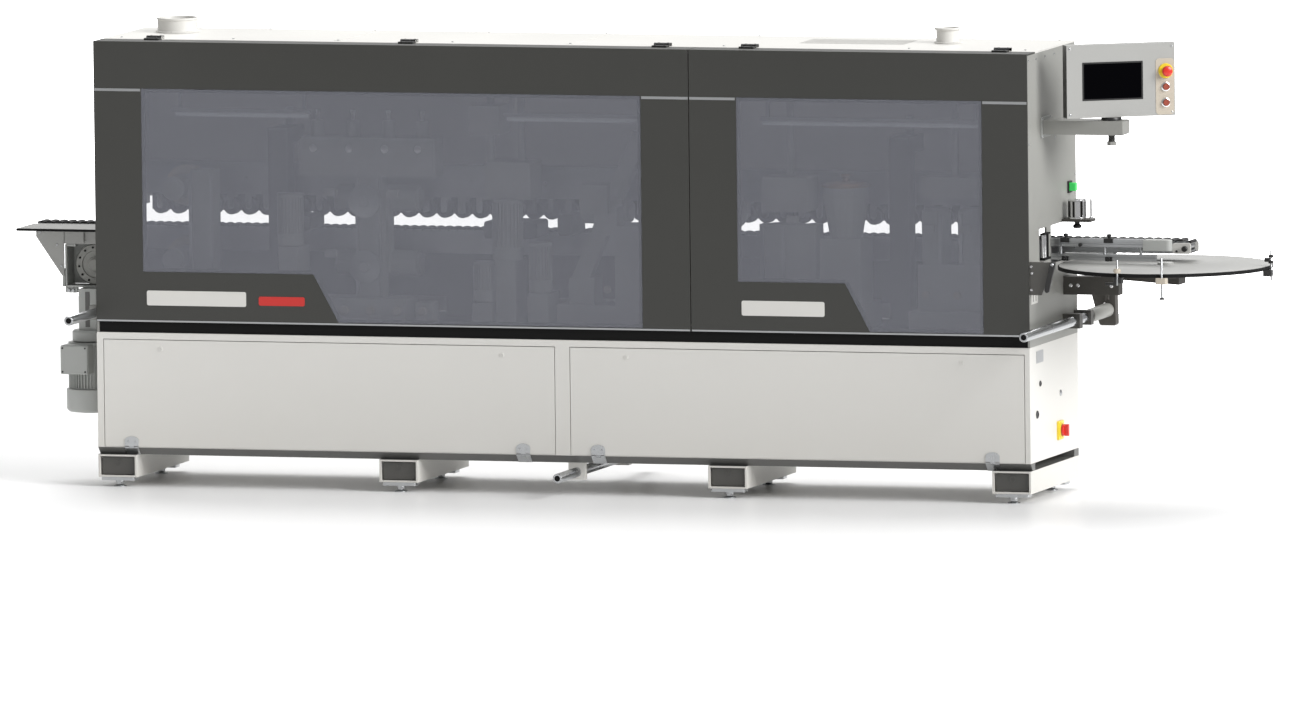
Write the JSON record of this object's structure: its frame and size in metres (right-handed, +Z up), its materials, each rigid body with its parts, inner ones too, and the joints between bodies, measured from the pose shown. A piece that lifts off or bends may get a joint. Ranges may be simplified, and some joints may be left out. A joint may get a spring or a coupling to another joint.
{
  "type": "edge banding machine",
  "caption": "Automatic edge banding machine with a windowed hood over its working units, a chain conveyor, a coil tray, a swivelling console and a drawn-out panel support.",
  "frame": {"origin": "on the floor, under the middle of the machine's bounding box", "axes": "+X towards the infeed end, +Y towards the rear where panels overhang, +Z up"},
  "size_m": [4.879, 1.16, 1.735],
  "materials": {
    "light_paint": "powder coated, satin",
    "plate_grey": "powder coated, satin",
    "charcoal": "powder coated, fine texture",
    "black_steel": "black paint, matt",
    "cast_dark": "painted casting",
    "machined": "machined steel",
    "motor_grey": "grey enamel",
    "beam_aluminium": "anodised",
    "pad_rubber": "black rubber",
    "chrome": "polished",
    "window": "grey tinted acrylic",
    "red_plastic": "gloss",
    "yellow_plastic": "gloss",
    "green_plastic": "translucent gloss",
    "black_plastic": "matt",
    "button_brown": "gloss",
    "screen_glass": "black glass"
  },
  "bodies": {
    "machine_frame": {"base_cabinet": "light_paint", "base_frame": "light_paint", "buffing_unit": "motor_grey", "coil_tray": "plate_grey", "coil_tray_arm": "cast_dark", "control_arm": "motor_grey", "conveyor_chain": "pad_rubber", "conveyor_track": "plate_grey", "drive_gearbox": "motor_grey", "drive_motor": "motor_grey", "dust_port_infeed": "plate_grey", "dust_port_outfeed": "plate_grey", "end_trim_unit": "motor_grey", "entry_gate_cylinder": "cast_dark", "flush_trim_unit": "motor_grey", "glue_unit": "motor_grey", "levelling_foot_front_1": "machined", "levelling_foot_front_2": "machined", "levelling_foot_front_3": "machined", "levelling_foot_front_4": "machined", "levelling_foot_rear_1": "machined", "levelling_foot_rear_2": "machined", "levelling_foot_rear_3": "machined", "levelling_foot_rear_4": "machined", "machine_bed": "black_steel", "main_beam": "cast_dark", "outfeed_table": "plate_grey", "premill_unit": "motor_grey", "rear_cover_lower": "light_paint", "rear_cover_upper": "light_paint", "roof_panel": "light_paint", "side_plate_infeed": "plate_grey", "side_plate_outfeed": "plate_grey", "tape_guide": "machined"},
    "hood_lid_outfeed": {"hood_door_outfeed": "charcoal", "hood_window_outfeed": "window"},
    "hood_lid_infeed": {"hood_door_infeed": "charcoal", "hood_window_infeed": "window"},
    "low_door_outfeed": {"base_door_outfeed": "light_paint"},
    "low_door_infeed": {"base_door_infeed": "light_paint"},
    "pressure_beam": {"pressure_beam": "beam_aluminium"},
    "pressure_wheel_1": {"pressure_wheel_1": "pad_rubber"},
    "pressure_wheel_2": {"pressure_wheel_2": "pad_rubber"},
    "pressure_wheel_3": {"pressure_wheel_3": "pad_rubber"},
    "pressure_wheel_4": {"pressure_wheel_4": "pad_rubber"},
    "drive_sprocket": {"drive_sprocket": "machined"},
    "idler_infeed": {"idler_sprocket_infeed": "machined"},
    "idler_outfeed": {"idler_sprocket_outfeed": "machined"},
    "entry_gate": {"entry_gate_plunger": "pad_rubber"},
    "clamp_lever": {"clamp_lever": "black_plastic"},
    "side_button": {"side_start_button": "green_plastic"},
    "console": {"control_console": "plate_grey"},
    "emergency_stop": {"emergency_stop": "red_plastic"},
    "start_button": {"start_button": "button_brown"},
    "stop_button": {"stop_button": "button_brown"},
    "switch_handle": {"main_switch_handle": "red_plastic"},
    "panel_support": {"support_arm_infeed": "cast_dark", "support_arm_outfeed": "cast_dark", "support_leg_centre": "cast_dark", "support_rail": "plate_grey"}
  },
  "joints": [
    {"name": "hood_outfeed_lift", "type": "hinge", "parent": "machine_frame", "child": "hood_lid_outfeed", "pos_m": [-0.8895, -0.255, 1.685], "axis": [-1, 0, 0], "range_deg": [0, 78]},
    {"name": "hood_infeed_lift", "type": "hinge", "parent": "machine_frame", "child": "hood_lid_infeed", "pos_m": [0.9315, -0.255, 1.685], "axis": [-1, 0, 0], "range_deg": [0, 78]},
    {"name": "low_door_outfeed_drop", "type": "hinge", "parent": "machine_frame", "child": "low_door_outfeed", "pos_m": [-1.143, -0.365, 0.15], "axis": [1, 0, 0], "range_deg": [0, 90]},
    {"name": "low_door_infeed_drop", "type": "hinge", "parent": "machine_frame", "child": "low_door_infeed", "pos_m": [0.6845, -0.365, 0.15], "axis": [1, 0, 0], "range_deg": [0, 90]},
    {"name": "pressure_beam_lift", "type": "slide", "parent": "machine_frame", "child": "pressure_beam", "axis": [0, 0, 1], "range_m": [-0.025, 0.027]},
    {"name": "pressure_wheel_1_spin", "type": "hinge", "parent": "pressure_beam", "child": "pressure_wheel_1", "pos_m": [-1.8045, 0.105, 1.0225], "axis": [0, 1, 0], "continuous": true},
    {"name": "pressure_wheel_2_spin", "type": "hinge", "parent": "pressure_beam", "child": "pressure_wheel_2", "pos_m": [-0.7545, 0.105, 1.0225], "axis": [0, 1, 0], "continuous": true},
    {"name": "pressure_wheel_3_spin", "type": "hinge", "parent": "pressure_beam", "child": "pressure_wheel_3", "pos_m": [0.2955, 0.105, 1.0225], "axis": [0, 1, 0], "continuous": true},
    {"name": "pressure_wheel_4_spin", "type": "hinge", "parent": "pressure_beam", "child": "pressure_wheel_4", "pos_m": [1.3455, 0.105, 1.0225], "axis": [0, 1, 0], "continuous": true},
    {"name": "drive_spin", "type": "hinge", "parent": "machine_frame", "child": "drive_sprocket", "pos_m": [-2.1655, 0.105, 0.805], "axis": [0, 1, 0], "continuous": true},
    {"name": "idler_infeed_spin", "type": "hinge", "parent": "machine_frame", "child": "idler_infeed", "pos_m": [2.075, 0.105, 0.9295], "axis": [0, 1, 0], "continuous": true},
    {"name": "idler_outfeed_spin", "type": "hinge", "parent": "machine_frame", "child": "idler_outfeed", "pos_m": [-2.412, 0.105, 0.9295], "axis": [0, 1, 0], "continuous": true},
    {"name": "entry_gate_slide", "type": "slide", "parent": "machine_frame", "child": "entry_gate", "axis": [0, 0, 1], "range_m": [-0.025, 0]},
    {"name": "clamp_lever_turn", "type": "hinge", "parent": "machine_frame", "child": "clamp_lever", "pos_m": [1.6815, -0.365, 0.896], "axis": [0, 1, 0], "range_deg": [-45, 30]},
    {"name": "side_button_press", "type": "slide", "parent": "machine_frame", "child": "side_button", "axis": [-1, 0, 0], "range_m": [0, 0.003], "stiffness_N_per_m": 500, "springref_m": -0.003},
    {"name": "console_swivel", "type": "hinge", "parent": "machine_frame", "child": "console", "pos_m": [1.8455, -0.13, 1.429], "axis": [0, 0, 1], "range_deg": [-60, 45]},
    {"name": "emergency_stop_press", "type": "slide", "parent": "console", "child": "emergency_stop", "axis": [-0.5299, 0.848, 0], "range_m": [0, 0.006]},
    {"name": "start_button_press", "type": "slide", "parent": "console", "child": "start_button", "axis": [-0.5299, 0.848, 0], "range_m": [0, 0.004], "stiffness_N_per_m": 500, "springref_m": -0.003},
    {"name": "stop_button_press", "type": "slide", "parent": "console", "child": "stop_button", "axis": [-0.5299, 0.848, 0], "range_m": [0, 0.004], "stiffness_N_per_m": 500, "springref_m": -0.003},
    {"name": "main_switch_turn", "type": "hinge", "parent": "machine_frame", "child": "switch_handle", "pos_m": [1.6015, 0.02, 0.241], "axis": [1, 0, 0], "range_deg": [0, 90]},
    {"name": "panel_support_slide", "type": "slide", "parent": "machine_frame", "child": "panel_support", "axis": [0, 1, 0], "range_m": [0, 0.27]}
  ],
  "couplings": [
    {"joint": "idler_infeed_spin", "follows": "drive_spin", "ratio": -7.15},
    {"joint": "idler_outfeed_spin", "follows": "drive_spin", "ratio": -7.15}
  ]
}
